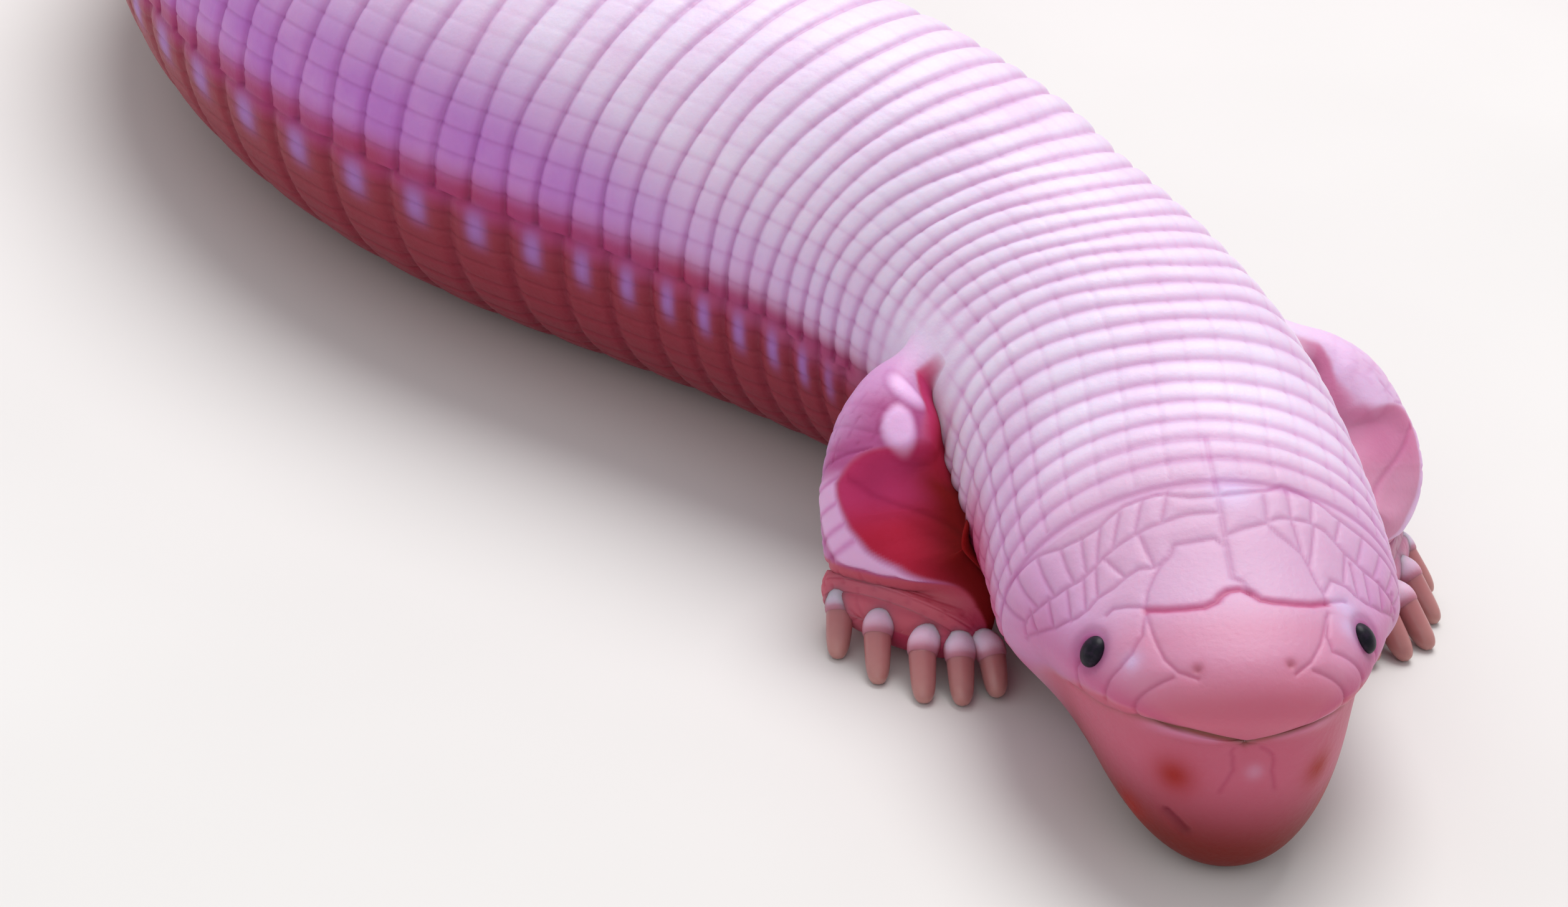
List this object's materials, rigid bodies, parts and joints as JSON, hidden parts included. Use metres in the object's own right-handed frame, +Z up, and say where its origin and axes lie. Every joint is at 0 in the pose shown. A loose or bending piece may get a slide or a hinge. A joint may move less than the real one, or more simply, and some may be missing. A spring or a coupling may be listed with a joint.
{
  "type": "mexican mole lizard",
  "caption": "Life-size still model of a two-legged ringed worm-lizard lying in a loose S on its belly, with a blunt shielded head and two short clawed forelimbs.",
  "frame": {"origin": "On the floor, under the middle of the animal's bounding box.", "axes": "+Z up from the floor; the body's S runs along Y, with the head at -Y facing -Y and the tail at +Y; +X is on the left of an animal that faces -Y."},
  "size_m": [0.0668, 0.116, 0.0076],
  "materials": {
    "skin_head": "thin satin skin over shields, rose pink on the snout",
    "skin_body": "satin ringed skin, pale lilac pink",
    "skin_limb": "thin satin skin, pink with a red cast inside",
    "claw": "translucent pinkish horn",
    "eye": "dark navy under a clear skin"
  },
  "bodies": {
    "root": {"claw_left_1": "claw", "claw_left_2": "claw", "claw_left_3": "claw", "claw_left_4": "claw", "claw_left_5": "claw", "claw_right_1": "claw", "claw_right_2": "claw", "claw_right_3": "claw", "claw_right_4": "claw", "claw_right_5": "claw", "eye_left": "eye", "eye_right": "eye", "forearm_left": "skin_limb", "forearm_right": "skin_limb", "hand_left": "skin_limb", "hand_right": "skin_limb", "head": "skin_head", "neck": "skin_body", "tail": "skin_body", "torso_1": "skin_body", "torso_2": "skin_body", "torso_3": "skin_body", "torso_4": "skin_body", "torso_5": "skin_body", "torso_6": "skin_body", "torso_7": "skin_body", "torso_8": "skin_body", "upper_arm_left": "skin_limb", "upper_arm_right": "skin_limb"}
  },
  "joints": []
}
